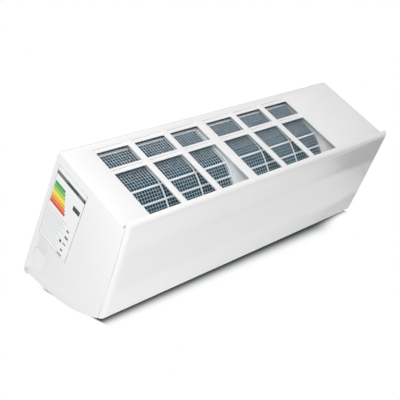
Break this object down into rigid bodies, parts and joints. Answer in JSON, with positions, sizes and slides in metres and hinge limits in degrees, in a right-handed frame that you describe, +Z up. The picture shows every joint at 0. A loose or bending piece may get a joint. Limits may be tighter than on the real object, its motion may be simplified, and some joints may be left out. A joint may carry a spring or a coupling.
{
  "type": "mini split indoor unit",
  "caption": "Wall-hung air conditioner indoor unit: leaning front panel, open top grille, filters, folded coil, cross-flow fan, louvre, vanes and wall plate.",
  "frame": {"origin": "the middle of the wall plate's back face, on the wall", "axes": "+X to the right as seen from the room, +Y into the wall, +Z up"},
  "size_m": [0.6906, 0.2049, 0.298],
  "materials": {
    "casing_plastic": "satin white moulding",
    "panel_plastic": "glossy white moulding",
    "inner_plastic": "plain off-white moulding",
    "filter_plastic": "pale blue-grey frame and net",
    "dark_plastic": "black moulding",
    "fin": "blue-green coated fins",
    "copper": "bright copper tube",
    "brass": "machined brass",
    "steel": "zinc-plated steel",
    "galvanised": "galvanised sheet",
    "motor_metal": "plain grey motor can",
    "rubber": "black rubber",
    "board": "green circuit board",
    "smoked_window": "dark smoked window",
    "label": "pale paper label"
  },
  "bodies": {
    "unit": {"wall_plate": "galvanised", "rear_chassis": "inner_plastic", "front_casing": "casing_plastic", "drain_pan": "inner_plastic", "drain_spigot": "inner_plastic", "drain_plug": "rubber", "rear_coil": "fin", "upper_front_coil": "fin", "lower_front_coil": "fin", "coil_end_left": "copper", "coil_end_right": "copper", "suction_pipe": "copper", "liquid_pipe": "copper", "suction_flare_nut": "brass", "liquid_flare_nut": "brass", "pipe_clamp": "dark_plastic", "bearing_bush": "rubber", "fan_motor": "motor_metal", "motor_clamp": "dark_plastic", "left_air_filter": "filter_plastic", "right_air_filter": "filter_plastic", "louvre_motor": "motor_metal", "electrical_box": "dark_plastic", "electrical_box_cover": "dark_plastic", "circuit_board": "board", "terminal_block": "dark_plastic", "cable_grommet": "rubber", "receiver_module": "dark_plastic", "receiver_lens": "smoked_window", "energy_label": "label", "pipe_knockout_left": "casing_plastic", "pipe_knockout_right": "casing_plastic", "casing_screw_left": "steel", "casing_screw_centre": "steel", "casing_screw_right": "steel"},
    "panel": {"front_panel": "panel_plastic"},
    "louvre": {"louvre": "panel_plastic"},
    "fan": {"fan_rotor": "dark_plastic", "fan_axle": "steel", "motor_shaft": "steel"},
    "vane_1": {"vane_1": "inner_plastic"},
    "vane_2": {"vane_2": "inner_plastic"},
    "vane_3": {"vane_3": "inner_plastic"},
    "vane_4": {"vane_4": "inner_plastic"},
    "vane_5": {"vane_5": "inner_plastic"},
    "vane_6": {"vane_6": "inner_plastic"},
    "vane_7": {"vane_7": "inner_plastic"},
    "vane_8": {"vane_8": "inner_plastic"},
    "vane_9": {"vane_9": "inner_plastic"},
    "vane_10": {"vane_10": "inner_plastic"},
    "left_link": {"left_vane_link": "inner_plastic"},
    "right_link": {"right_vane_link": "inner_plastic"},
    "test_button": {"test_button": "inner_plastic"}
  },
  "joints": [
    {"name": "panel_hinge", "type": "hinge", "parent": "unit", "child": "panel", "pos_m": [0, -0.1805, 0.1315], "axis": [-1, 0, 0], "range_deg": [0, 60]},
    {"name": "louvre_hinge", "type": "hinge", "parent": "unit", "child": "louvre", "pos_m": [0, -0.14566, -0.09841], "axis": [1, 0, 0], "range_deg": [0, 75]},
    {"name": "fan_spin", "type": "hinge", "parent": "unit", "child": "fan", "pos_m": [0, -0.098, -0.048], "axis": [1, 0, 0], "continuous": true},
    {"name": "vane_1_pivot", "type": "hinge", "parent": "unit", "child": "vane_1", "pos_m": [-0.2569, -0.166, -0.07], "axis": [0, 0, 1], "range_deg": [-35, 35]},
    {"name": "vane_2_pivot", "type": "hinge", "parent": "unit", "child": "vane_2", "pos_m": [-0.2109, -0.166, -0.07], "axis": [0, 0, 1], "range_deg": [-35, 35]},
    {"name": "vane_3_pivot", "type": "hinge", "parent": "unit", "child": "vane_3", "pos_m": [-0.1649, -0.166, -0.07], "axis": [0, 0, 1], "range_deg": [-35, 35]},
    {"name": "vane_4_pivot", "type": "hinge", "parent": "unit", "child": "vane_4", "pos_m": [-0.1189, -0.166, -0.07], "axis": [0, 0, 1], "range_deg": [-35, 35]},
    {"name": "vane_5_pivot", "type": "hinge", "parent": "unit", "child": "vane_5", "pos_m": [-0.0729, -0.166, -0.07], "axis": [0, 0, 1], "range_deg": [-35, 35]},
    {"name": "vane_6_pivot", "type": "hinge", "parent": "unit", "child": "vane_6", "pos_m": [-0.0269, -0.166, -0.07], "axis": [0, 0, 1], "range_deg": [-35, 35]},
    {"name": "vane_7_pivot", "type": "hinge", "parent": "unit", "child": "vane_7", "pos_m": [0.0191, -0.166, -0.07], "axis": [0, 0, 1], "range_deg": [-35, 35]},
    {"name": "vane_8_pivot", "type": "hinge", "parent": "unit", "child": "vane_8", "pos_m": [0.0651, -0.166, -0.07], "axis": [0, 0, 1], "range_deg": [-35, 35]},
    {"name": "vane_9_pivot", "type": "hinge", "parent": "unit", "child": "vane_9", "pos_m": [0.1111, -0.166, -0.07], "axis": [0, 0, 1], "range_deg": [-35, 35]},
    {"name": "vane_10_pivot", "type": "hinge", "parent": "unit", "child": "vane_10", "pos_m": [0.1571, -0.166, -0.07], "axis": [0, 0, 1], "range_deg": [-35, 35]},
    {"name": "left_link_slide", "type": "slide", "parent": "unit", "child": "left_link", "axis": [1, 0, 0], "range_m": [-0.0067, 0.0067]},
    {"name": "right_link_slide", "type": "slide", "parent": "unit", "child": "right_link", "axis": [1, 0, 0], "range_m": [-0.0067, 0.0067]},
    {"name": "test_button_press", "type": "slide", "parent": "unit", "child": "test_button", "axis": [0, 1, 0], "range_m": [0, 0.0012], "stiffness_N_per_m": 500}
  ],
  "couplings": [
    {"joint": "vane_1_pivot", "follows": "left_link_slide", "rad_per_m": -90.909},
    {"joint": "vane_2_pivot", "follows": "left_link_slide", "rad_per_m": -90.909},
    {"joint": "vane_3_pivot", "follows": "left_link_slide", "rad_per_m": -90.909},
    {"joint": "vane_4_pivot", "follows": "left_link_slide", "rad_per_m": -90.909},
    {"joint": "vane_5_pivot", "follows": "left_link_slide", "rad_per_m": -90.909},
    {"joint": "vane_6_pivot", "follows": "right_link_slide", "rad_per_m": -90.909},
    {"joint": "vane_7_pivot", "follows": "right_link_slide", "rad_per_m": -90.909},
    {"joint": "vane_8_pivot", "follows": "right_link_slide", "rad_per_m": -90.909},
    {"joint": "vane_9_pivot", "follows": "right_link_slide", "rad_per_m": -90.909},
    {"joint": "vane_10_pivot", "follows": "right_link_slide", "rad_per_m": -90.909}
  ]
}
